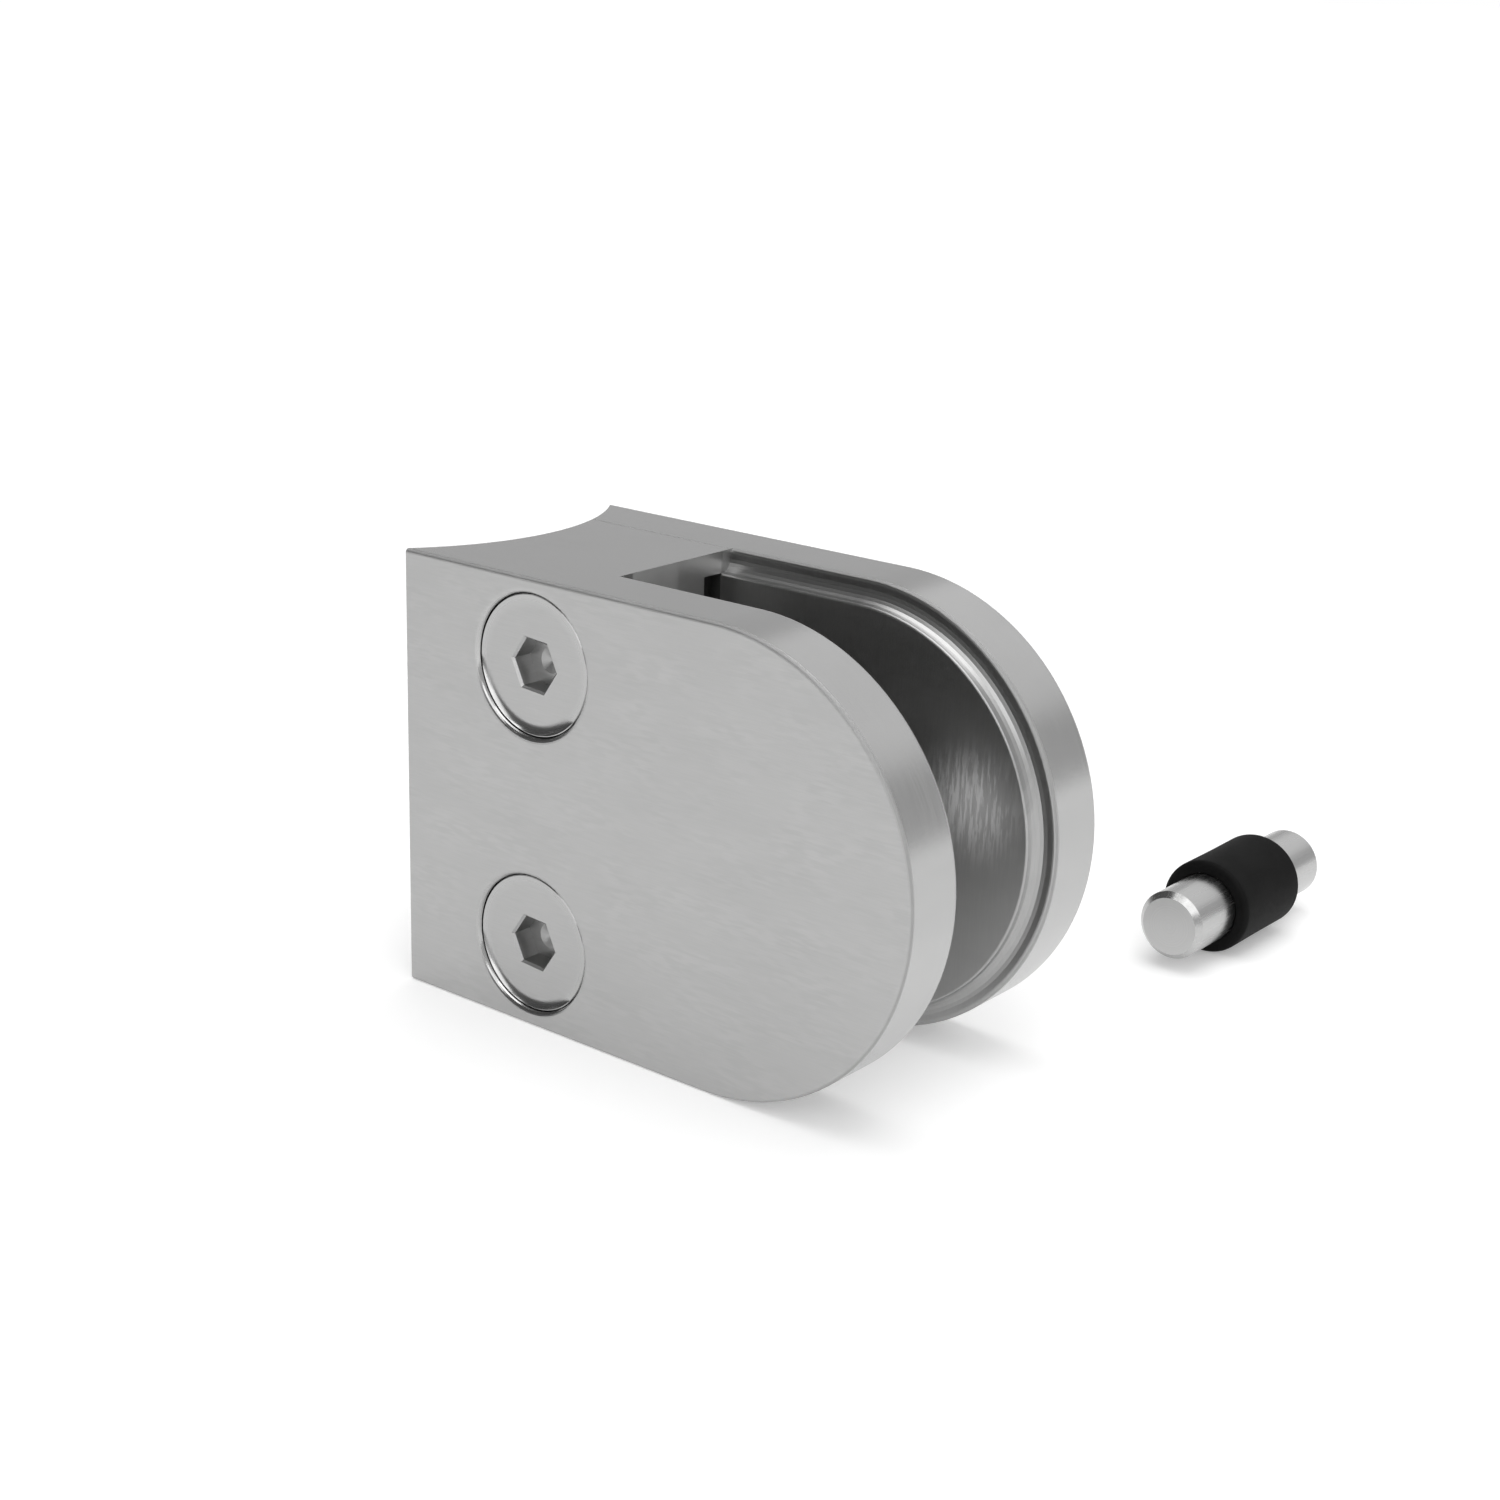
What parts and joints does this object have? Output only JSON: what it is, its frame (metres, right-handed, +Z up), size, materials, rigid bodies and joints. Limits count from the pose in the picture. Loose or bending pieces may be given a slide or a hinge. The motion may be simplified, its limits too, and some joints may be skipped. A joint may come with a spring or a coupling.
{
  "type": "glass panel clamp",
  "caption": "D-shaped steel clamp that holds the edge of a glass panel on a round post, with flat-headed socket screws and a loose rubber-sleeved safety pin.",
  "frame": {"origin": "where the post bolt's axis meets the deepest line of the saddle", "axes": "+X from the post to the glass, +Y from the front jaw to the back jaw, +Z up along the post"},
  "size_m": [0.0614, 0.0822, 0.045],
  "materials": {
    "brushed_steel": "fine horizontal brushing, satin",
    "screw_steel": "turned, satin",
    "pin_steel": "drawn bar, smooth",
    "black_rubber": "matt"
  },
  "bodies": {
    "root": {"front_half": "brushed_steel", "back_plate": "brushed_steel", "upper_screw": "screw_steel", "lower_screw": "screw_steel", "safety_pin": "pin_steel", "pin_sleeve": "black_rubber"}
  },
  "joints": []
}
